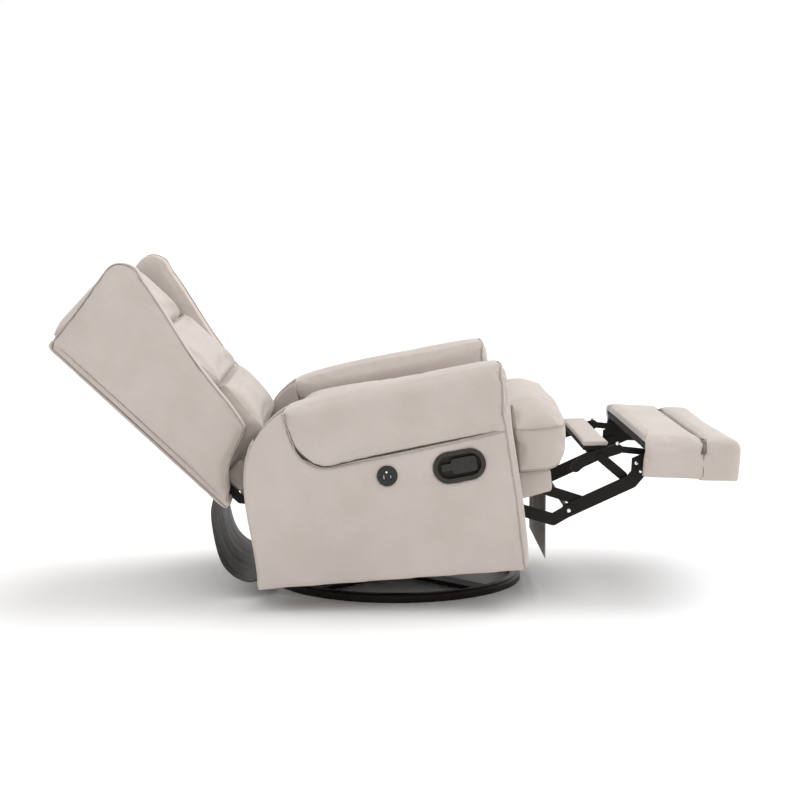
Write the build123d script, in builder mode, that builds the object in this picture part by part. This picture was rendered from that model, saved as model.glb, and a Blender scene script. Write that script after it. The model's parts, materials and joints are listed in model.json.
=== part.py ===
"""Swivel rocker recliner armchair, shown reclined with its leg rest out.

The chair faces +X, the sitter's right hand is at -Y and +Z is up. The origin is the centre of
the swivel ring, on the floor. Sizes are in millimetres.

Three side-on frames carry the profiles. The chair frame is level when the chair stands upright
and is drawn rocked back by ROCK_BACK about the rocker pivot. The back frame lies on the rear
face of the reclined back: its first axis runs forward through the back, its second one up along
it. The leg frame lies on the top of the leg rest: its first axis runs out along it.
"""

from build123d import *
import math
import os

os.makedirs("parts", exist_ok=True)

# --- driving dimensions -------------------------------------------------------------------
ROCK_BACK = 4.1          # degrees that the whole chair is rocked back at rest
BACK_RECLINE = 46.8      # degrees from upright to the rear face of the reclined back
LEG_PITCH = -3.2         # slope of the leg rest at rest
ROCK_Z = 120.0           # height of the rocker pivot

ARM_OUTER = 395.0        # half of the overall width
ARM_INNER = 258.0        # half of the width between the arms
ARM_CREST = 327.0        # where the arm pad is highest, from the centre line
PANEL = 18.0             # thickness of a padded cover panel
GAP = 0.5                # clearance between soft pieces that touch

RING_OUTER = 304.0
RING_WIDTH = 26.0
RING_HEIGHT = 20.0
HUB_R = 30.0
HUB_TOP = 78.0
SPOKE_WIDTH = 45.0
RUNNING = 0.3            # radial clearance of a turning fit
PIN_R = 5.0
STEEL = 4.0              # thickness of the leg rest's steel links
LAYER = 6.0              # distance from one layer of links to the next

SEAT_HALF = 240.0        # half width of the seat between the arms
SEAT_REAR = -232.0
SEAT_FRONT = 264.0
SEAT_BOTTOM = 325.0
SEAT_TOP = 452.0
ROLL_HALF = 335.0        # half width of the front roll, which is wider than the gap
ROLL_FRONT = 400.0
ROLL_BOTTOM = 283.0
ROLL_TOP = 444.0
ROLL_SEAM = 385.0        # height of the seam round the front band
SEAT_ROUND = 45.0

CHEEK_FRONT = 361.0
CHEEK_OUTER = 300.0
CHEEK_BOTTOM = 218.0

BACK_LENGTH = 560.0
BACK_HALF = 320.0
CUSHION_HALF = 252.0
CUSHION_FRONT = 196.0
WING_INNER = 256.0

LEG_LENGTH = 220.0
LEG_HALF = 335.0
LEG_DEPTH = 95.0
LEG_PAD = 36.0
LEG_WALL = 28.0
LEG_FRONT_DEPTH = 84.0   # the front wall stops short of the sides, to clear the folded knees

FLIPPER_HALF = 219.0

# --- chair frame places (forward, up) ------------------------------------------------------
HEEL = (273.36, 191.67)      # drive tube, root of the lower links
KNEE = (399.0, 176.0)        # lower link to long link
TOE = (570.0, 255.0)         # long link to leg rest
UPPER_ROOT = (311.0, 242.1)  # root of the upper links
UPPER_KNEE = (434.9, 192.6)  # upper link to long link
FLIP_HINGE = (580.0, 297.0)  # leg rest to flipper
CROSS_HINGE = (485.0, 290.0)
CROSS_FOOT = (531.0, 245.0)
BACK_PIVOT = (-139.7, 268.4)
BEZEL = (148.6, 320.5)
PORT = (-13.0, 310.0)

LINK_OUTER = 253.0           # outer face of the outermost layer of links


def side_plane(x, z, tilt, y):
    """A side-on plane: first axis forward and up by tilt, second axis up, normal towards -Y."""
    turn = math.radians(tilt)
    return Plane(origin=(x, y, z), x_dir=(math.cos(turn), 0, math.sin(turn)), z_dir=(0, -1, 0))


def rest(place):
    """Where a chair frame place lies at rest."""
    turn = math.radians(ROCK_BACK)
    forward, up = place[0], place[1] - ROCK_Z
    return (
        forward * math.cos(turn) - up * math.sin(turn),
        ROCK_Z + forward * math.sin(turn) + up * math.cos(turn),
    )


CHAIR_X, CHAIR_Z = rest((0, 0))
BACK_X, BACK_Z = -386.0, 216.0      # rear bottom edge of the back
LEG_X, LEG_Z = rest((574.0, 345.0))  # rear top edge of the leg rest


def chair_plane(y):
    return side_plane(CHAIR_X, CHAIR_Z, ROCK_BACK, y)


def back_plane(y):
    return side_plane(BACK_X, BACK_Z, BACK_RECLINE, y)


def leg_plane(y):
    return side_plane(LEG_X, LEG_Z, LEG_PITCH, y)


def on_plane(place, x, z, tilt):
    """The rest place of a point given on a side-on plane."""
    turn = math.radians(tilt)
    return (
        x + place[0] * math.cos(turn) - place[1] * math.sin(turn),
        z + place[0] * math.sin(turn) + place[1] * math.cos(turn),
    )


def back_place(place):
    return on_plane(place, BACK_X, BACK_Z, BACK_RECLINE)


def leg_local(place):
    """A chair frame place, given in the leg frame."""
    x, z = rest(place)
    turn = math.radians(LEG_PITCH)
    forward, up = x - LEG_X, z - LEG_Z
    return (
        forward * math.cos(turn) + up * math.sin(turn),
        -forward * math.sin(turn) + up * math.cos(turn),
    )


def chair_cross(place, pitch=0.0):
    """A plane across the chair at a chair frame place: first axis +Y, second axis up."""
    x, z = rest(place)
    turn = math.radians(ROCK_BACK + pitch)
    return Plane(origin=(x, 0, z), x_dir=(0, 1, 0), z_dir=(math.cos(turn), 0, math.sin(turn)))


def layer(index, side):
    """Low and high Y of one layer of links: 0 is the outermost."""
    outer = LINK_OUTER - index * LAYER
    low, high = (outer - STEEL, outer) if side > 0 else (-outer, -outer + STEEL)
    return low, high


def span(side, inner, outer):
    """Low and high Y between two distances from the centre line, on one side."""
    return (inner, outer) if side > 0 else (-outer, -inner)


SIDES = {"right": -1, "left": 1}


# --- swivel base ---------------------------------------------------------------------------
with BuildPart() as base_ring:
    with BuildSketch(Plane.XY):
        Circle(RING_OUTER)
        Circle(RING_OUTER - RING_WIDTH, mode=Mode.SUBTRACT)
    extrude(amount=RING_HEIGHT)
    fillet(base_ring.edges().group_by(Axis.Z)[-1], 7)
base_ring.part.label = "base_ring"
export_step(base_ring.part, "parts/base_ring.step")

SPOKE_LOW, SPOKE_HIGH = 6.0, 16.0
with BuildPart() as base_cross:
    with BuildSketch(Plane.XY.offset(SPOKE_LOW)):
        Rectangle(2 * (RING_OUTER - RING_WIDTH), SPOKE_WIDTH, rotation=45)
        Rectangle(SPOKE_WIDTH, 2 * (RING_OUTER - RING_WIDTH), rotation=45)
        Circle(HUB_R + 30)
        Circle(RING_OUTER - RING_WIDTH, mode=Mode.INTERSECT)
    extrude(amount=SPOKE_HIGH - SPOKE_LOW)
    with PolarLocations(HUB_R + 16, 4, start_angle=45):
        Hole(4.2)
base_cross.part.label = "base_cross"
export_step(base_cross.part, "parts/base_cross.step")

with BuildPart() as base_hub:
    with BuildSketch(Plane.XY.offset(SPOKE_HIGH)):
        Circle(HUB_R + 28)
    extrude(amount=6)
    with BuildSketch(Plane.XY.offset(SPOKE_HIGH + 6)):
        Circle(HUB_R)
    extrude(amount=HUB_TOP - SPOKE_HIGH - 6)
    with BuildSketch(Plane.XY.offset(SPOKE_HIGH)):
        Circle(HUB_R - 8)
    extrude(amount=HUB_TOP, mode=Mode.SUBTRACT)
    with PolarLocations(HUB_R + 16, 4, start_angle=45):
        Hole(4.2)
base_hub.part.label = "base_hub"
export_step(base_hub.part, "parts/base_hub.step")

with BuildPart() as hub_bolts:
    with BuildSketch(Plane.XY.offset(SPOKE_LOW)):
        with PolarLocations(HUB_R + 16, 4, start_angle=45):
            Circle(4.0)
    extrude(amount=SPOKE_HIGH - SPOKE_LOW + 6)
    with BuildSketch(Plane.XY.offset(SPOKE_HIGH + 6)):
        with PolarLocations(HUB_R + 16, 4, start_angle=45):
            RegularPolygon(7.5, 6)
    extrude(amount=5)
hub_bolts.part.label = "hub_bolts"
export_step(hub_bolts.part, "parts/hub_bolts.step")

# --- swivel plate and rocker pivots --------------------------------------------------------
PLATE_Z = HUB_TOP - 6.0
PLATE_HALF = 170.0
EAR_INNER = 150.0
EAR_THICK = 6.0

with BuildPart() as swivel_collar:
    with BuildSketch(Plane.XY.offset(SPOKE_HIGH + 12)):
        Circle(HUB_R + 9)
        Circle(HUB_R + RUNNING, mode=Mode.SUBTRACT)
    extrude(amount=PLATE_Z - SPOKE_HIGH - 12)
swivel_collar.part.label = "swivel_collar"
export_step(swivel_collar.part, "parts/swivel_collar.step")

with BuildPart() as swivel_plate:
    with BuildSketch(Plane.XY.offset(PLATE_Z)):
        RectangleRounded(220, 2 * PLATE_HALF, 18)
        Circle(HUB_R + RUNNING, mode=Mode.SUBTRACT)
    extrude(amount=4)
swivel_plate.part.label = "swivel_plate"
export_step(swivel_plate.part, "parts/swivel_plate.step")

with BuildPart() as rocker_ears:
    for side in SIDES.values():
        low, high = span(side, EAR_INNER, EAR_INNER + EAR_THICK)
        with BuildSketch(side_plane(0, PLATE_Z + 4, 0, high)):
            with BuildLine():
                Polyline((-60, 0), (60, 0), (22, ROCK_Z - PLATE_Z + 8), (-22, ROCK_Z - PLATE_Z + 8),
                         close=True)
            make_face()
            with Locations((0, ROCK_Z - PLATE_Z - 4)):
                Circle(PIN_R + 1, mode=Mode.SUBTRACT)
        extrude(amount=high - low)
rocker_ears.part.label = "rocker_ears"
export_step(rocker_ears.part, "parts/rocker_ears.step")

BRACKET_INNER = EAR_INNER + EAR_THICK + 2
with BuildPart() as rocker_pins:
    for side in SIDES.values():
        low, high = span(side, EAR_INNER - 4, BRACKET_INNER + EAR_THICK + 4)
        with BuildSketch(side_plane(0, ROCK_Z, 0, high)):
            Circle(PIN_R + 1)
        extrude(amount=high - low)
rocker_pins.part.label = "rocker_pins"
export_step(rocker_pins.part, "parts/rocker_pins.step")

RAIL_LOW, RAIL_HIGH = 150.0, 172.0
SPRING_TOP = RAIL_LOW - 14.0
SPRING_R = 17.0
SPRING_WIRE = 2.6
SPRING_TURNS = 4
with BuildPart() as rocker_springs:
    pitch = (SPRING_TOP - PLATE_Z - 4 - 2 * SPRING_WIRE) / SPRING_TURNS
    for x in (-84, 84):
        for y in (-105, 105):
            with BuildLine(Plane.XY.offset(PLATE_Z + 4 + SPRING_WIRE)) as coil:
                Helix(pitch, pitch * SPRING_TURNS, SPRING_R, center=(x, y, PLATE_Z + 4 + SPRING_WIRE))
            with BuildSketch(Plane(coil.line @ 0, z_dir=coil.line % 0)):
                Circle(SPRING_WIRE)
            sweep(path=coil.line)
rocker_springs.part.label = "rocker_springs"
export_step(rocker_springs.part, "parts/rocker_springs.step")


# --- chair frame ---------------------------------------------------------------------------
with BuildPart() as rocker_brackets:
    for side in SIDES.values():
        low, high = span(side, BRACKET_INNER, BRACKET_INNER + EAR_THICK)
        with BuildSketch(chair_plane(high)):
            with BuildLine():
                Polyline((-22, ROCK_Z - 20), (22, ROCK_Z - 20), (200, RAIL_LOW), (200, RAIL_HIGH + 8),
                         (-200, RAIL_HIGH + 8), (-200, RAIL_LOW), close=True)
            make_face()
            with Locations((0, ROCK_Z)):
                Circle(PIN_R + 1 + RUNNING, mode=Mode.SUBTRACT)
        extrude(amount=high - low)
rocker_brackets.part.label = "rocker_brackets"
export_step(rocker_brackets.part, "parts/rocker_brackets.step")

FRAME_THICK = 20.0
with BuildPart() as base_rails:
    for x in (-190, 170):
        for inner, outer in ((-ARM_INNER, -BRACKET_INNER - EAR_THICK), (-BRACKET_INNER, BRACKET_INNER),
                             (BRACKET_INNER + EAR_THICK, ARM_INNER)):
            with BuildSketch(chair_plane(outer)):
                with Locations((x + 10, (RAIL_LOW + RAIL_HIGH) / 2)):
                    Rectangle(30, RAIL_HIGH - RAIL_LOW)
            extrude(amount=outer - inner)
base_rails.part.label = "base_rails"
export_step(base_rails.part, "parts/base_rails.step")

RAIL_FRONT = 262.0
with BuildPart() as front_rail:
    with BuildSketch(chair_plane(ARM_INNER)):
        with Locations((RAIL_FRONT - 14, 256)):
            Rectangle(24, 54)
    extrude(amount=2 * ARM_INNER)
front_rail.part.label = "front_rail"
export_step(front_rail.part, "parts/front_rail.step")

with BuildPart() as rear_rail:
    with BuildSketch(chair_plane(ARM_INNER)):
        with Locations((SEAT_REAR + 22, SEAT_BOTTOM - 15)):
            Rectangle(22, 26)
    extrude(amount=2 * ARM_INNER)
rear_rail.part.label = "rear_rail"
export_step(rear_rail.part, "parts/rear_rail.step")

SPRING_LINE = 310.0
with BuildPart() as seat_springs:
    for index in range(6):
        y = -180 + 72 * index
        with BuildSketch(chair_plane(y + 3)):
            with Locations(((SEAT_REAR + 33 + RAIL_FRONT - 2) / 2, SPRING_LINE)):
                Rectangle(RAIL_FRONT - SEAT_REAR - 59, 4)
        extrude(amount=6)
    for index in range(5):
        forward = SEAT_REAR + 80 + 85 * index
        with BuildSketch(chair_plane(184)):
            with Locations((forward, SPRING_LINE)):
                Rectangle(5, 4)
        extrude(amount=368)
seat_springs.part.label = "seat_springs"
export_step(seat_springs.part, "parts/seat_springs.step")

# Arm outline, clockwise from the front bottom corner, in the chair frame.
ARM_FRONT_LINE = ((283, 70), (276, 234), (262, 390), (257, 545))
ARM_REAR_LINE = ((-320, 70.5), (-331, 235), (-332, 325), (-310, 402), (-281, 438), (-236, 470))
ARM_CREST_LINE = ((-236, 470), (-207, 480), (-127, 499), (32, 521), (257, 545))
ARM_SEAM_BEND = ((-236, 470), (-212, 383), (-165, 339), (-116, 338))
ARM_SEAM_FRONT = (262, 390)
ARM_SEAM_TANGENTS = ((0.25, -1), (1, 0.14))

# The front panel covers the frame's front edge, so the other panels stop short of it.
FRONT_PANEL = 20.0
PAD_FRONT = (ARM_SEAM_FRONT[0] - FRONT_PANEL - GAP, ARM_SEAM_FRONT[1] - 2)
PAD_CREST_Z = 543.0


def arm_lower_outline():
    """Arm side below the seam of the pad."""
    with BuildLine() as outline:
        rear = Spline(*ARM_REAR_LINE)
        seam = Spline(rear @ 1, *ARM_SEAM_BEND[1:], tangents=ARM_SEAM_TANGENTS)
        front = [(x - FRONT_PANEL - GAP, z) for x, z in ARM_FRONT_LINE[1::-1]]
        Polyline(seam @ 1, PAD_FRONT, *front, rear @ 0)
    return outline


def arm_side_solid(inner, outer, side):
    low, high = span(side, inner, outer)
    outline = arm_lower_outline()
    with BuildPart() as solid:
        with BuildSketch(chair_plane(high)):
            add(outline)
            make_face()
        extrude(amount=high - low)
    return solid


with BuildPart() as arm_frames:
    for side in SIDES.values():
        low, high = span(side, ARM_INNER + 21, ARM_INNER + 21 + FRAME_THICK)
        with BuildSketch(chair_plane(high)):
            with BuildLine():
                Polyline((-298, 82), (-309, 240), (-310, 306), (-160, 314), (10, 336), (236, 362), (240, 234),
                         (256, 82), close=True)
            make_face()
        extrude(amount=high - low)
arm_frames.part.label = "arm_frames"
export_step(arm_frames.part, "parts/arm_frames.step")

for name, side in SIDES.items():
    panel = arm_side_solid(ARM_OUTER - 3 - PANEL, ARM_OUTER - 3, side)
    with BuildPart() as arm_outer:
        add(panel.part)
        if side < 0:
            with BuildSketch(side_plane(*rest(BEZEL), ROCK_BACK + 6, -ARM_OUTER + 30)):
                SlotOverall(112, 65)
            extrude(amount=60, mode=Mode.SUBTRACT)
            with BuildSketch(side_plane(*rest(PORT), ROCK_BACK, -ARM_OUTER + 30)):
                Circle(18.5)
            extrude(amount=60, mode=Mode.SUBTRACT)
    arm_outer.part.label = f"arm_outer_{name}"
    export_step(arm_outer.part, f"parts/arm_outer_{name}.step")

    arm_inner = arm_side_solid(ARM_INNER, ARM_INNER + 16, side)
    arm_inner.part.label = f"arm_inner_{name}"
    export_step(arm_inner.part, f"parts/arm_inner_{name}.step")

    low, high = span(side, ARM_INNER, ARM_OUTER)
    # The pad: its side-on shape, rounded over the crest by a cross profile that follows it.
    with BuildPart() as arm_pad:
        with BuildSketch(chair_plane(high)):
            with BuildLine():
                crest = Spline(*ARM_CREST_LINE[:-1], (PAD_FRONT[0] - 5, PAD_CREST_Z))
                seam = Spline(crest @ 0, *ARM_SEAM_BEND[1:], tangents=ARM_SEAM_TANGENTS)
                Polyline(seam @ 1, PAD_FRONT, crest @ 1)
            make_face()
        extrude(amount=high - low)
        with BuildSketch(chair_cross((-400, 455), pitch=7.4)):
            with BuildLine():
                inner_y, outer_y = side * ARM_INNER, side * ARM_OUTER
                top = Spline((inner_y, -30), (side * (ARM_INNER + 22), 8), (side * ARM_CREST, 24),
                             (side * (ARM_OUTER - 20), -2), (outer_y, -50))
                Polyline(top @ 1, (outer_y, -300), (inner_y, -300), top @ 0)
            make_face()
        extrude(amount=1000, mode=Mode.INTERSECT)
    arm_pad.part.label = f"arm_pad_{name}"
    export_step(arm_pad.part, f"parts/arm_pad_{name}.step")

with BuildPart() as arm_fronts:
    for side in SIDES.values():
        low, high = span(side, ARM_INNER, ARM_OUTER)
        with BuildSketch(chair_plane(high)):
            with BuildLine():
                face = Polyline(*ARM_FRONT_LINE)
                Polyline(face @ 1, *[(x - FRONT_PANEL, z) for x, z in ARM_FRONT_LINE[::-1]], face @ 0)
            make_face()
        extrude(amount=high - low)
    with BuildSketch(chair_cross((0, 0))):
        for side in SIDES.values():
            with Locations((side * (ARM_INNER + ARM_OUTER) / 2, 300)):
                Rectangle(ARM_OUTER - ARM_INNER, 490)
        fillet([corner for corner in vertices() if corner.Y > 400], 45)
    extrude(amount=600, mode=Mode.INTERSECT)
arm_fronts.part.label = "arm_fronts"
export_step(arm_fronts.part, "parts/arm_fronts.step")

with BuildPart() as arm_rears:
    for side in SIDES.values():
        low, high = span(side, ARM_INNER + 16 + GAP, ARM_OUTER - 3 - PANEL - GAP)
        with BuildSketch(chair_plane(high)):
            with BuildLine():
                rear = Spline(*ARM_REAR_LINE[:4])
                Polyline(rear @ 1, (ARM_REAR_LINE[3][0] + 10, ARM_REAR_LINE[3][1] - 30), (-322, 320),
                         (-321, 240), (-310, 70.5), rear @ 0)
            make_face()
        extrude(amount=high - low)
arm_rears.part.label = "arm_rears"
export_step(arm_rears.part, "parts/arm_rears.step")

with BuildPart() as front_cheeks:
    for side in SIDES.values():
        low, high = span(side, ARM_INNER, CHEEK_OUTER)
        with BuildSketch(chair_plane(high)):
            with BuildLine():
                Polyline((285, CHEEK_BOTTOM), (CHEEK_FRONT, CHEEK_BOTTOM + 15),
                         (CHEEK_FRONT - 2, ROLL_BOTTOM - GAP), (285, ROLL_BOTTOM - GAP), close=True)
            make_face()
        extrude(amount=high - low)
    fillet(front_cheeks.edges().filter_by(Axis.Y).group_by(Axis.X)[-1], 8)
front_cheeks.part.label = "front_cheeks"
export_step(front_cheeks.part, "parts/front_cheeks.step")

# --- seat ----------------------------------------------------------------------------------
with BuildPart() as seat_cushion:
    with BuildSketch(chair_plane(SEAT_HALF)):
        with BuildLine():
            top = Spline((SEAT_REAR, 430), (-60, SEAT_TOP), (SEAT_FRONT, SEAT_TOP - 4))
            Polyline(top @ 1, (SEAT_FRONT, SEAT_BOTTOM), (SEAT_REAR, SEAT_BOTTOM), top @ 0)
        make_face()
    extrude(amount=2 * SEAT_HALF)
    fillet(seat_cushion.edges().filter_by(Axis.Y).sort_by(Axis.X)[:2], 20)
seat_cushion.part.label = "seat_cushion"
export_step(seat_cushion.part, "parts/seat_cushion.step")

with BuildPart() as seat_front_roll:
    with BuildSketch(chair_plane(SEAT_HALF)):
        with BuildLine():
            Polyline((SEAT_FRONT, ROLL_BOTTOM), (ROLL_FRONT, ROLL_BOTTOM), (ROLL_FRONT, ROLL_TOP),
                     (SEAT_FRONT, ROLL_TOP), close=True)
        make_face()
    extrude(amount=2 * SEAT_HALF)
    with BuildSketch(chair_plane(ROLL_HALF)):
        with BuildLine():
            Polyline((285, ROLL_BOTTOM), (ROLL_FRONT, ROLL_BOTTOM), (ROLL_FRONT, ROLL_TOP),
                     (285, ROLL_TOP), close=True)
        make_face()
    extrude(amount=2 * ROLL_HALF)
    fillet(seat_front_roll.edges().filter_by(Axis.Y).group_by(Axis.X)[-1].sort_by(Axis.Z)[-1:], SEAT_ROUND)
    # The top falls away to the band's seam at both ends.
    with BuildSketch(chair_cross((SEAT_FRONT - 5, 0))):
        with BuildLine():
            crown = Spline((-ROLL_HALF, ROLL_SEAM), (-SEAT_HALF, ROLL_TOP - 14), (0, ROLL_TOP),
                           (SEAT_HALF, ROLL_TOP - 14), (ROLL_HALF, ROLL_SEAM))
            Polyline(crown @ 1, (ROLL_HALF, ROLL_BOTTOM), (-ROLL_HALF, ROLL_BOTTOM), crown @ 0)
        make_face()
    extrude(amount=ROLL_FRONT - SEAT_FRONT + 10, mode=Mode.INTERSECT)
seat_front_roll.part.label = "seat_front_roll"
export_step(seat_front_roll.part, "parts/seat_front_roll.step")

# --- plates that carry the leg rest linkage ------------------------------------------------
with BuildPart() as link_hangers:
    for side in SIDES.values():
        low, high = layer(3, side)
        with BuildSketch(chair_plane(high)):
            with BuildLine():
                Polyline((236, 160), (HEEL[0] + 16, 160), (HEEL[0] + 18, 215), (UPPER_ROOT[0] + 14, 232),
                         (UPPER_ROOT[0] + 14, 256), (RAIL_FRONT - 2, 256), (RAIL_FRONT - 2, 228), (236, 228),
                         close=True)
            make_face()
            with Locations(HEEL):
                Circle(11 + RUNNING, mode=Mode.SUBTRACT)
            with Locations(UPPER_ROOT):
                Circle(6 + RUNNING, mode=Mode.SUBTRACT)
        extrude(amount=high - low)
link_hangers.part.label = "link_hangers"
export_step(link_hangers.part, "parts/link_hangers.step")


def bar(start, end, width):
    """A round-ended bar between two places, in the sketch that is open."""
    length = math.dist(start, end)
    turn = math.degrees(math.atan2(end[1] - start[1], end[0] - start[0]))
    with Locations(((start[0] + end[0]) / 2, (start[1] + end[1]) / 2)):
        SlotCenterToCenter(length, width, rotation=turn)


def links(points, width, index, holes=()):
    """A left and a right flat steel link in one layer: round-ended bars along points, with holes."""
    with BuildPart() as pair:
        for side in SIDES.values():
            low, high = layer(index, side)
            with BuildSketch(chair_plane(high)):
                for start, end in zip(points, points[1:]):
                    bar(start, end, width)
                for place, radius in holes:
                    with Locations(place):
                        Circle(radius, mode=Mode.SUBTRACT)
            extrude(amount=high - low)
    return pair


PIN_HEAD = 1.0           # how far a pin stands out of the outermost link it holds
LINK_WIDTH = 24.0
TUBE_R = 11.0
PIN_HOLE = PIN_R + RUNNING

with BuildPart() as drive_tube:
    with BuildSketch(chair_plane(LINK_OUTER)):
        with Locations(HEEL):
            Circle(TUBE_R)
            Circle(TUBE_R - 2.5, mode=Mode.SUBTRACT)
    extrude(amount=2 * LINK_OUTER)
drive_tube.part.label = "drive_tube"
export_step(drive_tube.part, "parts/drive_tube.step")

with BuildPart() as knee_rod:
    with BuildSketch(chair_plane(LINK_OUTER + PIN_HEAD)):
        with Locations(KNEE):
            Circle(PIN_R)
    extrude(amount=2 * (LINK_OUTER + PIN_HEAD))
knee_rod.part.label = "knee_rod"
export_step(knee_rod.part, "parts/knee_rod.step")

with BuildPart() as upper_tube:
    with BuildSketch(chair_plane(LINK_OUTER - 2 * LAYER)):
        with Locations(UPPER_ROOT):
            Circle(6)
    extrude(amount=2 * (LINK_OUTER - 2 * LAYER))
upper_tube.part.label = "upper_tube"
export_step(upper_tube.part, "parts/upper_tube.step")

KNEE_BEND = (362.0, 158.0)
lower_links = links((HEEL, KNEE_BEND, KNEE), 28, 0, holes=((HEEL, TUBE_R), (KNEE, PIN_HOLE)))
lower_links.part.label = "lower_links"
export_step(lower_links.part, "parts/lower_links.step")

long_links = links((KNEE, (548.0, 232.0), TOE), 32, 1, holes=((KNEE, PIN_R), (TOE, PIN_HOLE)))
long_links.part.label = "long_links"
export_step(long_links.part, "parts/long_links.step")

upper_links = links((UPPER_ROOT, UPPER_KNEE), LINK_WIDTH, 2, holes=((UPPER_ROOT, 6),))
upper_links.part.label = "upper_links"
export_step(upper_links.part, "parts/upper_links.step")

CARRIER_REAR = (424.0, 272.0)
CARRIER_BEND = (448.0, 290.0)
CARRIER_CREST = (524.0, 307.0)
with BuildPart() as cross_links:
    for side in SIDES.values():
        low, high = layer(3, side)
        with BuildSketch(chair_plane(high)):
            bar(CROSS_HINGE, CROSS_FOOT, 22)
            with Locations(CROSS_HINGE):
                Circle(PIN_HOLE, mode=Mode.SUBTRACT)
        extrude(amount=high - low)
        with BuildSketch(chair_plane(high)):
            with Locations(CROSS_FOOT):
                Circle(6)
        extrude(amount=-1.5 if side > 0 else high - low + 1.5)
cross_links.part.label = "cross_links"
export_step(cross_links.part, "parts/cross_links.step")

# --- flipper: the small pad between the seat and the leg rest ------------------------------
FLIP_REAR, FLIP_FRONT = 444.0, 505.0
FLIP_TOP = 330.0
FLIP_SLOPE = -3.0
FLIP_X, FLIP_Z = rest((FLIP_REAR, FLIP_TOP))


def flipper_plane(y):
    return side_plane(FLIP_X, FLIP_Z, ROCK_BACK + FLIP_SLOPE, y)


with BuildPart() as flipper_pad:
    with BuildSketch(flipper_plane(FLIPPER_HALF)):
        with Locations(((FLIP_FRONT - FLIP_REAR) / 2, -6)):
            Rectangle(FLIP_FRONT - FLIP_REAR, 12)
    extrude(amount=2 * FLIPPER_HALF)
    fillet(flipper_pad.edges().filter_by(Axis.Y), 4)
flipper_pad.part.label = "flipper_pad"
export_step(flipper_pad.part, "parts/flipper_pad.step")

with BuildPart() as flipper_board:
    with BuildSketch(flipper_plane(FLIPPER_HALF)):
        with Locations(((FLIP_FRONT - FLIP_REAR) / 2, -12 - 4.5)):
            Rectangle(FLIP_FRONT - FLIP_REAR - 6, 9)
    extrude(amount=2 * FLIPPER_HALF)
flipper_board.part.label = "flipper_board"
export_step(flipper_board.part, "parts/flipper_board.step")

with BuildPart() as flipper_carriers:
    for side in SIDES.values():
        low, high = layer(4, side)
        with BuildSketch(chair_plane(high)):
            bar(CARRIER_REAR, CARRIER_BEND, 24)
            bar(CARRIER_BEND, CARRIER_CREST, 24)
            bar(CARRIER_CREST, FLIP_HINGE, 15)
            with Locations(FLIP_HINGE):
                Circle(PIN_HOLE, mode=Mode.SUBTRACT)
        extrude(amount=high - low)
        pin_low, pin_high = span(side, LINK_OUTER - 4 * LAYER - STEEL, LINK_OUTER - 3 * LAYER + PIN_HEAD)
        with BuildSketch(chair_plane(pin_high)):
            with Locations(CROSS_HINGE):
                Circle(PIN_R)
        extrude(amount=pin_high - pin_low)
        tab_low, tab_high = span(side, FLIPPER_HALF - 40, LINK_OUTER - 4 * LAYER - STEEL)
        with BuildSketch(chair_plane(tab_high)):
            with Locations((474, 303)):
                Rectangle(40, 4)
        extrude(amount=tab_high - tab_low)
flipper_carriers.part.label = "flipper_carriers"
export_step(flipper_carriers.part, "parts/flipper_carriers.step")

# --- leg rest ------------------------------------------------------------------------------
# The leg frame: forward along the top from its rear edge, up square to the top.
LEG_SEAM = 135.0
for name, first, last in (("rear", 0.0, LEG_SEAM - GAP / 2), ("front", LEG_SEAM + GAP / 2, LEG_LENGTH)):
    with BuildPart() as leg_pad:
        with BuildSketch(leg_plane(LEG_HALF)):
            with Locations(((first + last) / 2, -LEG_PAD / 2)):
                Rectangle(last - first, LEG_PAD)
        extrude(amount=2 * LEG_HALF)
        long_edges = leg_pad.edges().filter_by(Axis.Y).group_by(Axis.Z)[-1]
        fillet(long_edges, 6)
    leg_pad.part.label = f"leg_pad_{name}"
    export_step(leg_pad.part, f"parts/leg_pad_{name}.step")

with BuildPart() as leg_sides:
    for side in SIDES.values():
        low, high = span(side, LEG_HALF - LEG_WALL, LEG_HALF)
        with BuildSketch(leg_plane(high)):
            with Locations((LEG_LENGTH / 2, -(LEG_PAD + LEG_DEPTH) / 2)):
                Rectangle(LEG_LENGTH, LEG_DEPTH - LEG_PAD)
        extrude(amount=high - low)
leg_sides.part.label = "leg_sides"
export_step(leg_sides.part, "parts/leg_sides.step")

with BuildPart() as leg_front:
    with BuildSketch(leg_plane(LEG_HALF - LEG_WALL)):
        with Locations((LEG_LENGTH - LEG_WALL / 2, -(LEG_PAD + LEG_FRONT_DEPTH) / 2)):
            Rectangle(LEG_WALL, LEG_FRONT_DEPTH - LEG_PAD)
    extrude(amount=2 * (LEG_HALF - LEG_WALL))
leg_front.part.label = "leg_front"
export_step(leg_front.part, "parts/leg_front.step")

BOARD = 12.0
BOARD_REAR = 40.0
with BuildPart() as leg_board:
    with BuildSketch(leg_plane(LEG_HALF - LEG_WALL)):
        with Locations(((LEG_LENGTH - LEG_WALL + BOARD_REAR) / 2, -LEG_PAD - BOARD / 2)):
            Rectangle(LEG_LENGTH - LEG_WALL - BOARD_REAR, BOARD)
    extrude(amount=2 * (LEG_HALF - LEG_WALL))
leg_board.part.label = "leg_board"
export_step(leg_board.part, "parts/leg_board.step")

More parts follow.
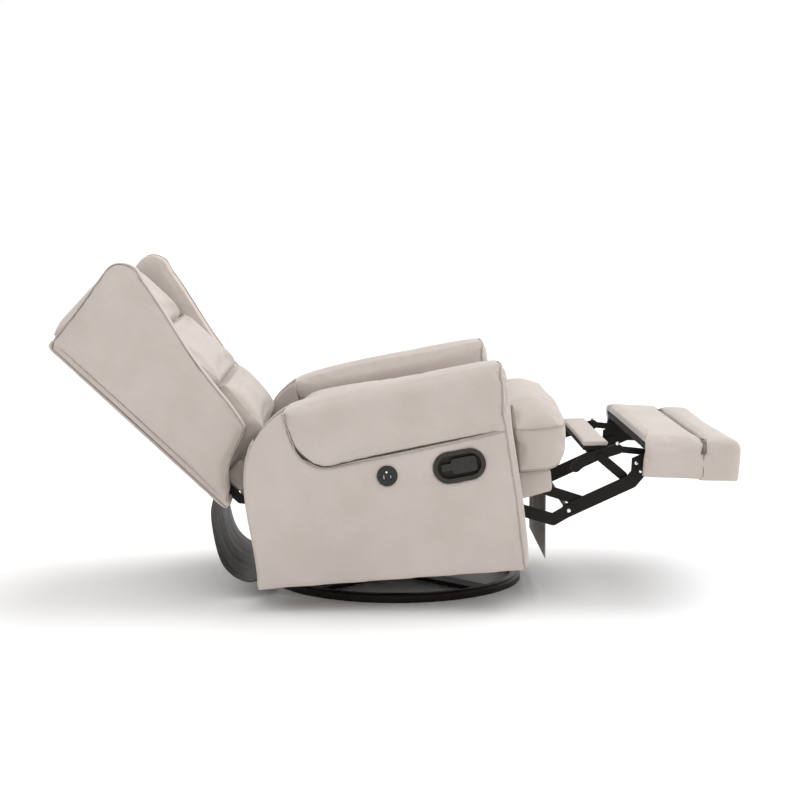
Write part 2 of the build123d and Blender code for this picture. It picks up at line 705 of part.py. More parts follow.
BOARD_UNDER = -LEG_PAD - BOARD
with BuildPart() as leg_brackets:
    for side in SIDES.values():
        low, high = layer(0, side)
        with BuildSketch(leg_plane(high)):
            with BuildLine():
                Polyline((-14, -60), (-14, -98), (20, -98), (60, -78), (130, -66), (130, BOARD_UNDER),
                         (BOARD_REAR, BOARD_UNDER), (10, -48), close=True)
            make_face()
        extrude(amount=high - low)
        toe_low, toe_high = span(side, LINK_OUTER - LAYER - STEEL - PIN_HEAD, LINK_OUTER + PIN_HEAD)
        with BuildSketch(chair_plane(toe_high)):
            with Locations(TOE):
                Circle(PIN_R)
        extrude(amount=toe_high - toe_low)
leg_brackets.part.label = "leg_brackets"
export_step(leg_brackets.part, "parts/leg_brackets.step")

HINGE_BAR = 18.0
with BuildPart() as flipper_hinges:
    hinge = leg_local(FLIP_HINGE)
    shoulder = (BOARD_REAR - 6, BOARD_UNDER - HINGE_BAR / 2)
    for side in SIDES.values():
        low, high = layer(3, side)
        with BuildSketch(leg_plane(high)):
            bar(hinge, shoulder, 15)
            bar(shoulder, (BOARD_REAR + 12, shoulder[1]), HINGE_BAR)
        extrude(amount=high - low)
        pin_low, pin_high = span(side, LINK_OUTER - 4 * LAYER - STEEL - PIN_HEAD, LINK_OUTER - 3 * LAYER)
        with BuildSketch(leg_plane(pin_high)):
            with Locations(hinge):
                Circle(PIN_R)
        extrude(amount=pin_high - pin_low)
flipper_hinges.part.label = "flipper_hinges"
export_step(flipper_hinges.part, "parts/flipper_hinges.step")

# --- release handle and charging port ------------------------------------------------------
BEZEL_X, BEZEL_Z = rest(BEZEL)
BEZEL_TILT = ROCK_BACK + 6
CUP_FLOOR = ARM_OUTER - 22.0


def bezel_plane(y):
    return side_plane(BEZEL_X, BEZEL_Z, BEZEL_TILT, y)


with BuildPart() as handle_bezel:
    with BuildSketch(bezel_plane(-CUP_FLOOR)):
        SlotOverall(108, 61)
    extrude(amount=ARM_OUTER - CUP_FLOOR)
    with BuildSketch(bezel_plane(-ARM_OUTER + 2.8)):
        SlotOverall(118, 71)
    extrude(amount=4)
    fillet(handle_bezel.faces().sort_by(Axis.Y)[0].edges(), 1.2)
    with BuildSketch(bezel_plane(-CUP_FLOOR - 3)):
        SlotOverall(98, 51)
    extrude(amount=40, mode=Mode.SUBTRACT)
handle_bezel.part.label = "handle_bezel"
export_step(handle_bezel.part, "parts/handle_bezel.step")

PADDLE_X, PADDLE_WIDTH, PADDLE_HEIGHT = 11.0, 58.0, 36.0
TAB_X, TAB_WIDTH, TAB_HEIGHT = -26.0, 30.0, 17.0
PADDLE_HINGE = -16.0      # below the middle of the bezel
HINGE_LONG = 59.0
HINGE_REAR = PADDLE_X - HINGE_LONG / 2
with BuildPart() as handle_paddle:
    with BuildSketch(bezel_plane(-CUP_FLOOR - 12)):
        with Locations((PADDLE_X, 0)):
            RectangleRounded(PADDLE_WIDTH, PADDLE_HEIGHT, 8)
        with Locations((TAB_X, 0)):
            RectangleRounded(TAB_WIDTH, TAB_HEIGHT, 4)
    extrude(amount=7)
    fillet(handle_paddle.faces().sort_by(Axis.Y)[0].edges(), 1.5)
    hinge_x, hinge_z = on_plane((HINGE_REAR, PADDLE_HINGE), BEZEL_X, BEZEL_Z, BEZEL_TILT)
    hinge_line = (math.cos(math.radians(BEZEL_TILT)), 0, math.sin(math.radians(BEZEL_TILT)))
    with BuildSketch(Plane(origin=(hinge_x, -CUP_FLOOR - 14, hinge_z), z_dir=hinge_line)):
        Circle(2.0)
    extrude(amount=HINGE_LONG)
handle_paddle.part.label = "handle_paddle"
export_step(handle_paddle.part, "parts/handle_paddle.step")

with BuildPart() as charge_port:
    with BuildSketch(side_plane(*rest(PORT), ROCK_BACK, -ARM_OUTER + 20)):
        Circle(17)
    extrude(amount=18)
    with BuildSketch(side_plane(*rest(PORT), ROCK_BACK, -ARM_OUTER + 2.8)):
        Circle(23)
    extrude(amount=4)
    fillet(charge_port.faces().sort_by(Axis.Y)[0].edges(), 1.5)
    with BuildSketch(side_plane(*rest(PORT), ROCK_BACK, -ARM_OUTER - 1.2 + 9)):
        with Locations((-7.5, -2), (7.5, -2)):
            Rectangle(6, 13)
            Rectangle(2.4, 10, mode=Mode.SUBTRACT)
    extrude(amount=20, mode=Mode.SUBTRACT)
charge_port.part.label = "charge_port"
export_step(charge_port.part, "parts/charge_port.step")

# --- back ----------------------------------------------------------------------------------
# The back frame: forward through the back from its rear face, up along the back.
COVER = 18.0
WING_EDGE = ((18, 14), (59, 47), (95, 68), (132, 81), (170, 95))
WING_FRONT = ((170, 95), (184, 140), (200, 235), (222, 336), (246, 425), (262, 505))
WING_TOP = ((262, 505), (266, 530), (252, 560), (214, 574))

for name, side in SIDES.items():
    low, high = span(side, WING_INNER, BACK_HALF)
    with BuildPart() as back_wing:
        with BuildSketch(back_plane(high)):
            with BuildLine():
                lower = Spline(*WING_EDGE)
                front = Spline(lower @ 1, *WING_FRONT[1:])
                top = Spline(front @ 1, *WING_TOP[1:])
                Polyline(top @ 1, (COVER, BACK_LENGTH - 8), lower @ 0)
            make_face()
        extrude(amount=high - low)
    back_wing.part.label = f"back_wing_{name}"
    export_step(back_wing.part, f"parts/back_wing_{name}.step")

with BuildPart() as back_cover:
    with BuildSketch(back_plane(BACK_HALF)):
        with Locations(((COVER - GAP) / 2, BACK_LENGTH / 2 - 2)):
            Rectangle(COVER - GAP, BACK_LENGTH - 12)
    extrude(amount=2 * BACK_HALF)
back_cover.part.label = "back_cover"
export_step(back_cover.part, "parts/back_cover.step")

FRAME_DEPTH = 22.0
FRAME_HALF = 243.5
with BuildPart() as back_frame:
    with BuildSketch(back_plane(FRAME_HALF)):
        with Locations((COVER + FRAME_DEPTH / 2, 30), (COVER + FRAME_DEPTH / 2, 290),
                       (COVER + FRAME_DEPTH / 2, 535)):
            Rectangle(FRAME_DEPTH, 40)
    extrude(amount=2 * FRAME_HALF)
    for side in SIDES.values():
        low, high = span(side, FRAME_HALF - 40, FRAME_HALF)
        with BuildSketch(back_plane(high)):
            with Locations((COVER + FRAME_DEPTH / 2, 282)):
                Rectangle(FRAME_DEPTH, 546)
        extrude(amount=high - low)
back_frame.part.label = "back_frame"
export_step(back_frame.part, "parts/back_frame.step")

SEAM_LOW, SEAM_HIGH = 205.0, 395.0
CUSHION_REAR = COVER + FRAME_DEPTH + GAP
CUSHIONS = {
    "lower": ((60, 190), (SEAM_LOW, CUSHION_FRONT + 6)),
    "middle": ((SEAM_LOW, CUSHION_FRONT + 6), (SEAM_HIGH, CUSHION_FRONT + 4)),
    "upper": ((SEAM_HIGH, CUSHION_FRONT + 4), (BACK_LENGTH + 6, 200)),
}
for name, ((low_s, low_n), (high_s, high_n)) in CUSHIONS.items():
    with BuildPart() as back_cushion:
        with BuildSketch(back_plane(CUSHION_HALF)):
            with BuildLine():
                Polyline((CUSHION_REAR, low_s + GAP), (low_n, low_s + GAP), (high_n, high_s - GAP),
                         (CUSHION_REAR, high_s - GAP), close=True)
            make_face()
        extrude(amount=2 * CUSHION_HALF)
        front_edges = back_cushion.edges().filter_by(Axis.Y).group_by(Axis.X)[-1]
        fillet(front_edges, 12)
    back_cushion.part.label = f"back_cushion_{name}"
    export_step(back_cushion.part, f"parts/back_cushion_{name}.step")

SKIRT_HALF = 242.0       # the skirt under the lower panel hangs between the hinge arms
SKIRT_LOW = -30.0
with BuildPart() as back_lower_panel:
    with BuildSketch(back_plane(CUSHION_HALF)):
        with BuildLine():
            Polyline((CUSHION_REAR, 6), (CUSHION_REAR + 22, 4), (96, 58), (CUSHION_REAR, 58), close=True)
        make_face()
    extrude(amount=2 * CUSHION_HALF)
    with BuildSketch(back_plane(SKIRT_HALF)):
        with BuildLine():
            Polyline((CUSHION_REAR, 6), (COVER + 1, SKIRT_LOW), (COVER + 9, SKIRT_LOW - 3),
                     (CUSHION_REAR + 22, 4), close=True)
        make_face()
    extrude(amount=2 * SKIRT_HALF)
back_lower_panel.part.label = "back_lower_panel"
export_step(back_lower_panel.part, "parts/back_lower_panel.step")

HINGE_INNER, HINGE_OUTER = 244.0, 249.0
with BuildPart() as back_hinge_arms:
    for side in SIDES.values():
        low, high = span(side, HINGE_INNER, HINGE_OUTER)
        with BuildSketch(side_plane(0, 0, 0, high)):
            bar(rest(BACK_PIVOT), rest((-200, 235)), 26)
            bar(rest((-200, 235)), back_place((COVER + 10.5, -6)), 20)
            bar(back_place((COVER + 10.5, -6)), back_place((COVER + 10.5, 130)), 20)
            with Locations(rest(BACK_PIVOT)):
                Circle(6 + RUNNING, mode=Mode.SUBTRACT)
        extrude(amount=high - low)
back_hinge_arms.part.label = "back_hinge_arms"
export_step(back_hinge_arms.part, "parts/back_hinge_arms.step")

with BuildPart() as back_hinge_plates:
    for side in SIDES.values():
        low, high = span(side, HINGE_OUTER + 1, ARM_INNER)
        with BuildSketch(chair_plane(high)):
            with BuildLine():
                Polyline((-172, 245), (-100, 245), (-88, 322), (-172, 322), close=True)
            make_face()
        extrude(amount=high - low)
        low, high = span(side, HINGE_INNER - 2, HINGE_OUTER + 1)
        with BuildSketch(chair_plane(high)):
            with Locations(BACK_PIVOT):
                Circle(6)
        extrude(amount=high - low)
back_hinge_plates.part.label = "back_hinge_plates"
export_step(back_hinge_plates.part, "parts/back_hinge_plates.step")

# --- hanging cloths ------------------------------------------------------------------------
CLOTH = 2.0
SLING_HALF = 235.0
SLING_RAIL = (-296.0, 92.0)
with BuildPart() as sling_rail:
    with BuildSketch(chair_plane(ARM_INNER)):
        with Locations(SLING_RAIL):
            Rectangle(22, 28)
    extrude(amount=2 * ARM_INNER)
sling_rail.part.label = "sling_rail"
export_step(sling_rail.part, "parts/sling_rail.step")

with BuildPart() as rear_sling:
    with BuildSketch(side_plane(0, 0, 0, SLING_HALF)):
        with BuildLine():
            Spline(back_place((-1.5, 48)), (-431, 190), (-414, 98), (-384, 53), (-340, 36),
                   rest((SLING_RAIL[0] - 2, SLING_RAIL[1] - 15.5)))
        trace(line_width=CLOTH)
    extrude(amount=2 * SLING_HALF)
rear_sling.part.label = "rear_sling"
export_step(rear_sling.part, "parts/rear_sling.step")

FLAP_HALF = 200.0
FLAP_LOW = 82.0
with BuildPart() as front_flap:
    with BuildSketch(side_plane(0, 0, 0, FLAP_HALF)):
        with BuildLine():
            Polyline(rest((357, ROLL_BOTTOM - 1)), (347, 228), (346, FLAP_LOW))
        trace(line_width=CLOTH)
    extrude(amount=2 * FLAP_HALF)
front_flap.part.label = "front_flap"
export_step(front_flap.part, "parts/front_flap.step")
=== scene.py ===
"""Looks of the swivel rocker recliner: upholstery, piping, hanging cloths, metalwork, light and camera."""

import json
import math

import bpy
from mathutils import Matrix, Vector


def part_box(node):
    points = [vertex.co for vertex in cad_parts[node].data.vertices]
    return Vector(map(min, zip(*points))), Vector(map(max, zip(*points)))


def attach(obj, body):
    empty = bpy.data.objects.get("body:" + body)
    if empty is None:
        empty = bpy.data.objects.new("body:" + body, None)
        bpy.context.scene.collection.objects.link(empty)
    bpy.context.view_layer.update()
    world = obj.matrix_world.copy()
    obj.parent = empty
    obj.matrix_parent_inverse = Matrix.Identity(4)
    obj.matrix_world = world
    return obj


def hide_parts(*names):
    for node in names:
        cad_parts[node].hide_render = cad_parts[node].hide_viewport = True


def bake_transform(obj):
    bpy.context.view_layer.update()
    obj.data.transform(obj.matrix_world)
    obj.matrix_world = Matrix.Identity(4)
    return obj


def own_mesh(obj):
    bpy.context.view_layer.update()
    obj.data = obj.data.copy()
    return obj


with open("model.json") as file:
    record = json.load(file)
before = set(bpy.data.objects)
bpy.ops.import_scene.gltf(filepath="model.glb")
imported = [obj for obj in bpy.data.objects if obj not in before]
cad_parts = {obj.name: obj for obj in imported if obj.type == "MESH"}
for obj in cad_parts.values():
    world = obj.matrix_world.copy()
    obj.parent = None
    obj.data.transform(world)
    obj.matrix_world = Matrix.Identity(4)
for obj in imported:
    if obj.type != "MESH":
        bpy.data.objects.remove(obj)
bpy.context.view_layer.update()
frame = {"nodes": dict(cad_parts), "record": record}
nodes = frame["nodes"]

MM = 0.001
SIDES = {"right": -1, "left": 1}

# Places below are in millimetres, in the side-on frames that the CAD profiles were drawn in.
ARM_OUTER, ARM_INNER = 395.0, 258.0
FRONT_PANEL = 20.0
ARM_FRONT_LINE = ((283, 70), (276, 234), (262, 390), (257, 545))
ARM_SEAM = ((-236, 470), (-229, 437), (-212, 383), (-192, 355), (-165, 339), (-116, 338), (70, 363),
            (262, 390))
ARM_SEAM_LEVEL = 3       # where the level stretch of the seam starts among its points
ARM_SEAM_TUCK, ARM_SEAM_REACH = 7.0, 4.0
ARM_FRONT_REACH = 9.0    # how far behind the front panel the covers start to stretch forward
ARM_PANEL_SHARE = 0.965
BACK_HALF = 320.0
WING_REAR_LOW = (2, 4)
WING_LINE = ((18, 14), (59, 47), (95, 68), (132, 81), (170, 95), (184, 140), (200, 235), (222, 336),
             (246, 425), (262, 505), (266, 530), (252, 560), (214, 574), (2, 552))
FRAME_REAR, FRAME_TOP = 20.0, 556.0
PAD_REAR = 60.0          # the back pads lie forward of this
WING_TUCK = 9.0
ROLL_HALF, ROLL_FRONT, ROLL_REAR = 335.0, 400.0, 285.0
ROLL_SLIM, ROLL_SLIM_START, ROLL_CORNER = 8.0, 60.0, 30.0
ROLL_SEAM, ROLL_LOW = 383.0, 285.0
LEG_HALF, LEG_DEPTH, LEG_SEAM, LEG_ROUND = 335.0, 84.0, 135.0, 24.0
LEG_PAD, LEG_WALL, LEG_OVERLAP = 36.0, 28.0, 9.0


class SideFrame:
    """A side-on frame: first axis forward and second axis up, both turned up by tilt degrees."""

    def __init__(self, x, z, tilt):
        self.x, self.z = x, z
        self.cos, self.sin = math.cos(math.radians(tilt)), math.sin(math.radians(tilt))

    def point(self, forward, up, y):
        """The place in metres of a point given in millimetres."""
        x = self.x + forward * self.cos - up * self.sin
        z = self.z + forward * self.sin + up * self.cos
        return Vector((x, y, z)) * MM

    def local(self, place):
        """(forward, up) in millimetres of a place in metres."""
        x, z = place.x / MM - self.x, place.z / MM - self.z
        return x * self.cos + z * self.sin, -x * self.sin + z * self.cos


CHAIR = SideFrame(8.58, 0.31, 4.1)
BACK = SideFrame(-386.0, 216.0, 46.8)
LEG = SideFrame(556.44, 385.46, -3.2)


# --- materials ----------------------------------------------------------------------------------
def socket_values(shader, **values):
    """Sets a shader's sockets by their names, with spaces for underscores."""
    for name, value in values.items():
        shader.inputs[name.replace("_", " ")].default_value = value


def start_material(name):
    """A material with its nodes, shader and object coordinates."""
    material = bpy.data.materials.new(name)
    material.use_nodes = True
    tree = material.node_tree
    shader = tree.nodes["Principled BSDF"]
    place = tree.nodes.new("ShaderNodeTexCoord").outputs["Object"]
    return material, tree, shader, place


def noise(tree, place, scale, detail=3.0, roughness=0.55):
    """Soft patches of one size, from 0 to 1."""
    texture = tree.nodes.new("ShaderNodeTexNoise")
    texture.inputs["Scale"].default_value = scale
    texture.inputs["Detail"].default_value = detail
    texture.inputs["Roughness"].default_value = roughness
    tree.links.new(place, texture.inputs["Vector"])
    return texture.outputs["Fac"]


def ramp(tree, factor, low, high, start=0.3, end=0.7):
    """A colour that goes from low to high as the factor goes from start to end."""
    node = tree.nodes.new("ShaderNodeValToRGB")
    node.color_ramp.elements[0].position = start
    node.color_ramp.elements[1].position = end
    node.color_ramp.elements[0].color = (*low, 1)
    node.color_ramp.elements[1].color = (*high, 1)
    tree.links.new(factor, node.inputs["Fac"])
    return node.outputs["Color"]


def spread(tree, factor, low, high):
    """A number from low to high, for roughness."""
    node = tree.nodes.new("ShaderNodeMapRange")
    node.inputs["To Min"].default_value = low
    node.inputs["To Max"].default_value = high
    tree.links.new(factor, node.inputs["Value"])
    return node.outputs["Result"]


def combine(tree, operation, first, second):
    """One number from two, each a fixed value or another node's."""
    node = tree.nodes.new("ShaderNodeMath")
    node.operation = operation
    for socket, value in zip(node.inputs, (first, second)):
        if isinstance(value, float):
            socket.default_value = value
        else:
            tree.links.new(value, socket)
    return node.outputs["Value"]


def bump(tree, shader, height, strength, distance):
    """Raises the surface by a height, for fine relief."""
    node = tree.nodes.new("ShaderNodeBump")
    node.inputs["Strength"].default_value = strength
    node.inputs["Distance"].default_value = distance
    tree.links.new(height, node.inputs["Height"])
    tree.links.new(node.outputs["Normal"], shader.inputs["Normal"])


def weave(tree, place, pitch):
    """Threads of one pitch in metres, crossing on a face that looks any way."""
    total = None
    for direction in "XYZ":
        wave = tree.nodes.new("ShaderNodeTexWave")
        wave.bands_direction = direction
        wave.inputs["Scale"].default_value = 2 * math.pi / (20 * pitch)
        wave.inputs["Distortion"].default_value = 1.5
        wave.inputs["Detail"].default_value = 1.0
        wave.inputs["Detail Scale"].default_value = 2.0
        tree.links.new(place, wave.inputs["Vector"])
        total = wave.outputs["Fac"] if total is None else combine(tree, "ADD", total, wave.outputs["Fac"])
    return total


def brushed_cloth(name, low, high, pitch=0.0011, sheen=0.35, relief=0.25):
    """Short-nap woven upholstery: mottled by the lie of its nap, with threads below it."""
    material, tree, shader, place = start_material(name)
    broad = noise(tree, place, 9.0, detail=4.0)
    fine = noise(tree, place, 160.0, detail=2.0)
    broad_share = combine(tree, "MULTIPLY", broad, 0.75)
    shade = combine(tree, "ADD", broad_share, combine(tree, "MULTIPLY", fine, 0.25))
    tree.links.new(ramp(tree, shade, low, high), shader.inputs["Base Color"])
    tree.links.new(spread(tree, fine, 0.82, 0.98), shader.inputs["Roughness"])
    nap = combine(tree, "ADD", weave(tree, place, pitch), noise(tree, place, 1400.0, detail=1.0))
    soft = combine(tree, "MULTIPLY", noise(tree, place, 26.0, detail=2.0), 1.6)
    bump(tree, shader, combine(tree, "ADD", nap, soft), relief, 0.0006)
    socket_values(shader, Sheen_Weight=sheen, Sheen_Roughness=0.4, Specular_IOR_Level=0.25)
    return material


def lining_cloth(name, low, high, roughness, pitch=0.0009, sheen=0.2):
    """Thin woven lining, smoother and a little shiny along its folds."""
    material, tree, shader, place = start_material(name)
    patches = noise(tree, place, 14.0, detail=3.0)
    tree.links.new(ramp(tree, patches, low, high), shader.inputs["Base Color"])
    tree.links.new(spread(tree, patches, roughness - 0.06, roughness + 0.08), shader.inputs["Roughness"])
    bump(tree, shader, weave(tree, place, pitch), 0.2, 0.0004)
    socket_values(shader, Sheen_Weight=sheen, Sheen_Roughness=0.5, Specular_IOR_Level=0.2)
    return material


def painted_metal(name, low, high, roughness, metallic=0.3):
    """Painted or coated steel with the orange peel and dull patches of a factory finish."""
    material, tree, shader, place = start_material(name)
    patches = noise(tree, place, 22.0, detail=5.0)
    tree.links.new(ramp(tree, patches, low, high), shader.inputs["Base Color"])
    tree.links.new(spread(tree, patches, roughness - 0.08, roughness + 0.12), shader.inputs["Roughness"])
    bump(tree, shader, noise(tree, place, 520.0, detail=2.0), 0.12, 0.0003)
    socket_values(shader, Metallic=metallic, Specular_IOR_Level=0.2)
    return material


def bare_metal(name, low, high, roughness):
    """Zinc plate or polished steel."""
    material, tree, shader, place = start_material(name)
    patches = noise(tree, place, 60.0, detail=4.0)
    tree.links.new(ramp(tree, patches, low, high), shader.inputs["Base Color"])
    tree.links.new(spread(tree, patches, roughness - 0.06, roughness + 0.1), shader.inputs["Roughness"])
    bump(tree, shader, noise(tree, place, 900.0, detail=2.0), 0.08, 0.0002)
    socket_values(shader, Metallic=1.0)
    return material


def moulded_plastic(name, low, high, roughness):
    """Spark-textured moulded plastic."""
    material, tree, shader, place = start_material(name)
    patches = noise(tree, place, 40.0, detail=2.0)
    tree.links.new(ramp(tree, patches, low, high), shader.inputs["Base Color"])
    tree.links.new(spread(tree, patches, roughness - 0.05, roughness + 0.07), shader.inputs["Roughness"])
    bump(tree, shader, noise(tree, place, 1300.0, detail=2.0), 0.18, 0.0002)
    socket_values(shader, Specular_IOR_Level=0.3)
    return material


def plywood(name, low, high):
    """Frame timber, with its grain along the piece."""
    material, tree, shader, place = start_material(name)
    stretch = tree.nodes.new("ShaderNodeMapping")
    stretch.inputs["Scale"].default_value = (1.0, 0.12, 1.0)
    tree.links.new(place, stretch.inputs["Vector"])
    grain = noise(tree, stretch.outputs["Vector"], 90.0, detail=6.0, roughness=0.65)
    tree.links.new(ramp(tree, grain, low, high), shader.inputs["Base Color"])
    tree.links.new(spread(tree, grain, 0.6, 0.8), shader.inputs["Roughness"])
    bump(tree, shader, grain, 0.15, 0.0005)
    return material


def lamp_lens(name):
    """The small lit lens of the charging port."""
    material, tree, shader, place = start_material(name)
    glow = ramp(tree, noise(tree, place, 300.0), (0.85, 0.95, 0.88), (1.0, 1.0, 1.0))
    tree.links.new(glow, shader.inputs["Base Color"])
    tree.links.new(glow, shader.inputs["Emission Color"])
    socket_values(shader, Emission_Strength=1.4, Roughness=0.3)
    return material


upholstery = brushed_cloth("upholstery", (0.490, 0.428, 0.388), (0.556, 0.496, 0.455))
# The piping is the cover's own fabric, painted darker as shade along the piped seams.
piping_painted_shade_cloth = brushed_cloth("piping_painted_shade_cloth", (0.38, 0.325, 0.295), (0.45, 0.395, 0.36), pitch=0.0008)
# A dark cord, painted shade for the creases beside the piping and in the leg rest's seam.
seam_thread = brushed_cloth("seam_thread", (0.15, 0.12, 0.105), (0.21, 0.175, 0.155), pitch=0.0006, sheen=0.1)
# Near-black painted shade for the hollow under the leg rest and for the boards there.
leg_hollow_shade = lining_cloth("leg_hollow_shade", (0.010, 0.009, 0.009), (0.018, 0.016, 0.015), 0.8, sheen=0.03)
sling_cloth = lining_cloth("sling_cloth", (0.028, 0.022, 0.019), (0.044, 0.035, 0.030), 0.42, sheen=0.08)
flap_cloth = lining_cloth("flap_cloth", (0.440, 0.395, 0.355), (0.500, 0.450, 0.405), 0.75)
link_steel = painted_metal("link_steel", (0.008, 0.007, 0.006), (0.015, 0.012, 0.011), 0.42)
ring_steel = painted_metal("ring_steel", (0.007, 0.004, 0.0035), (0.013, 0.008, 0.007), 0.35)
bright_steel = bare_metal("bright_steel", (0.50, 0.50, 0.51), (0.66, 0.66, 0.67), 0.28)
rivet_steel = bare_metal("rivet_steel", (0.78, 0.78, 0.78), (0.88, 0.88, 0.88), 0.22)
handle_plastic = moulded_plastic("handle_plastic", (0.020, 0.017, 0.014), (0.030, 0.025, 0.021), 0.42)
port_plastic = moulded_plastic("port_plastic", (0.012, 0.012, 0.011), (0.020, 0.019, 0.017), 0.25)
frame_timber = plywood("frame_timber", (0.30, 0.185, 0.095), (0.50, 0.345, 0.20))
port_lamp_lens = lamp_lens("port_lamp_lens")
contact_strip = moulded_plastic("contact_strip", (0.30, 0.29, 0.27), (0.40, 0.39, 0.37), 0.4)

CAD_FINISHES = {
    "frame_wood": frame_timber, "link_steel": link_steel, "ring_steel": ring_steel,
    "bright_steel": bright_steel, "handle_plastic": handle_plastic, "port_plastic": port_plastic,
}
for part in frame["record"]["subparts"]:
    finish = CAD_FINISHES.get(part["material_slot"])
    # The leg rest and flipper boards get the near-black painted shade of the hollow.
    if part["node"] in ("flipper_board", "leg_board"):
        finish = leg_hollow_shade
    if finish:
        for holder in nodes[part["node"]].material_slots:
            holder.material = finish


# --- mesh helpers -------------------------------------------------------------------------------
def deselect():
    bpy.ops.object.select_all(action="DESELECT")


def pick(piece):
    """Makes piece the only selected and the active object."""
    deselect()
    piece.select_set(True)
    bpy.context.view_layer.objects.active = piece


def apply_modifier(piece, kind, **settings):
    modifier = piece.modifiers.new(kind.lower(), kind)
    for name, value in settings.items():
        setattr(modifier, name, value)
    pick(piece)
    bpy.ops.object.modifier_apply(modifier=modifier.name)


def copy_nodes(name, stood_for):
    """A new piece from copies of CAD nodes, with the loose triangles merged."""
    deselect()
    for node in stood_for:
        part = bpy.data.objects.new(name, nodes[node].data.copy())
        bpy.context.collection.objects.link(part)
        part.select_set(True)
        bpy.context.view_layer.objects.active = part
    if len(stood_for) > 1:
        bpy.ops.object.join()
    piece = bpy.context.view_layer.objects.active
    piece.name = name
    piece.data.materials.clear()
    bpy.ops.object.mode_set(mode="EDIT")
    bpy.ops.mesh.select_all(action="SELECT")
    bpy.ops.mesh.remove_doubles(threshold=0.00002)
    bpy.ops.object.mode_set(mode="OBJECT")
    return piece


def cut_away(piece, place, normal):
    """Removes what lies beyond a plane, on the side that its normal points to, and closes the cut."""
    pick(piece)
    bpy.ops.object.mode_set(mode="EDIT")
    bpy.ops.mesh.select_all(action="SELECT")
    bpy.ops.mesh.bisect(plane_co=place, plane_no=normal, use_fill=True, clear_outer=True)
    bpy.ops.object.mode_set(mode="OBJECT")


def voxels(piece, size):
    pick(piece)
    piece.data.remesh_voxel_size = size
    bpy.ops.object.voxel_remesh()


def draw_in(piece, depth):
    """Starts a pad a little smaller, because it swells."""
    pick(piece)
    bpy.ops.object.mode_set(mode="EDIT")
    bpy.ops.mesh.select_all(action="SELECT")
    bpy.ops.transform.shrink_fatten(value=-depth)
    bpy.ops.object.mode_set(mode="OBJECT")


def swell(piece, cap, pressure, frames=20):
    """Fills a closed cover by a cloth simulation under pressure, with each point's travel held to cap."""
    pick(piece)
    start = [vertex.co.copy() for vertex in piece.data.vertices]
    cloth = piece.modifiers.new("fill", "CLOTH")
    cloth.settings.use_pressure = True
    cloth.settings.uniform_pressure_force = pressure
    cloth.settings.effector_weights.gravity = 0
    cloth.settings.quality = 4
    for number in range(1, frames + 1):
        bpy.context.scene.frame_set(number)
    bpy.ops.object.modifier_apply(modifier="fill")
    bpy.context.scene.frame_set(1)
    for vertex, before in zip(piece.data.vertices, start):
        travel = vertex.co - before
        if travel.length > 1e-7:
            vertex.co = before + travel * (cap * math.tanh(travel.length / cap) / travel.length)


def finish_pad(piece, body, stood_for, material=upholstery):
    """Subdivides, gives its material to and shades a stuffed piece, hangs it on its body and hides the CAD
    parts it stands for.
    """
    apply_modifier(piece, "SUBSURF", levels=1, render_levels=1)
    piece.data.materials.append(material)
    pick(piece)
    bpy.ops.object.shade_smooth()
    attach(piece, body)
    if stood_for:
        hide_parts(*stood_for)


def pad(name, body, stood_for, voxel, cap, pressure=4.0, start=1.5, shape=None, frames=20):
    """A stuffed piece in the space of its CAD solids. shape changes the copy before it is filled."""
    piece = copy_nodes(name, stood_for)
    if shape:
        shape(piece)
    voxels(piece, voxel * MM)
    draw_in(piece, start * MM)
    swell(piece, cap * MM, pressure, frames)
    finish_pad(piece, body, stood_for)
    return piece


def curve_through(points, steps=10):
    """Points along a smooth curve through the given ones."""
    ends = [2 * points[0] - points[1], *points, 2 * points[-1] - points[-2]]
    line = []
    for before, start, end, after in zip(ends, ends[1:], ends[2:], ends[3:]):
        for step in range(steps):
            t = step / steps
            line.append(0.5 * (2 * start + (end - before) * t
                               + (2 * before - 5 * start + 4 * end - after) * t ** 2
                               + (3 * start - before - 3 * end + after) * t ** 3))
    return [*line, points[-1]]


def laid_on(line, hosts, lift):
    """The line's points moved to the nearest point of the host pieces, then out by lift."""
    laid = []
    for point in line:
        found = []
        for host in hosts:
            hit, place, normal, _ = host.closest_point_on_mesh(point)
            if hit:
                found.append(((place - point).length, place + normal * lift))
        laid.append(min(found, key=lambda item: item[0])[1])
    return laid


def cord_along(name, line, radius, body, material, closed=False):
    """A sewn-in cord: a round tube along a line, made a mesh."""
    curve = bpy.data.curves.new(name, "CURVE")
    curve.dimensions = "3D"
    curve.bevel_depth = radius
    curve.bevel_resolution = 2
    curve.use_fill_caps = True
    spline = curve.splines.new("POLY")
    spline.points.add(len(line) - 1)
    for point, place in zip(spline.points, line):
        point.co = (*place, 1)
    spline.use_cyclic_u = closed
    piece = bpy.data.objects.new(name, curve)
    bpy.context.collection.objects.link(piece)
    pick(piece)
    bpy.ops.object.convert(target="MESH")
    piece = bpy.context.view_layer.objects.active
    piece.data.materials.append(material)
    bpy.ops.object.shade_smooth()
    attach(piece, body)
    return piece


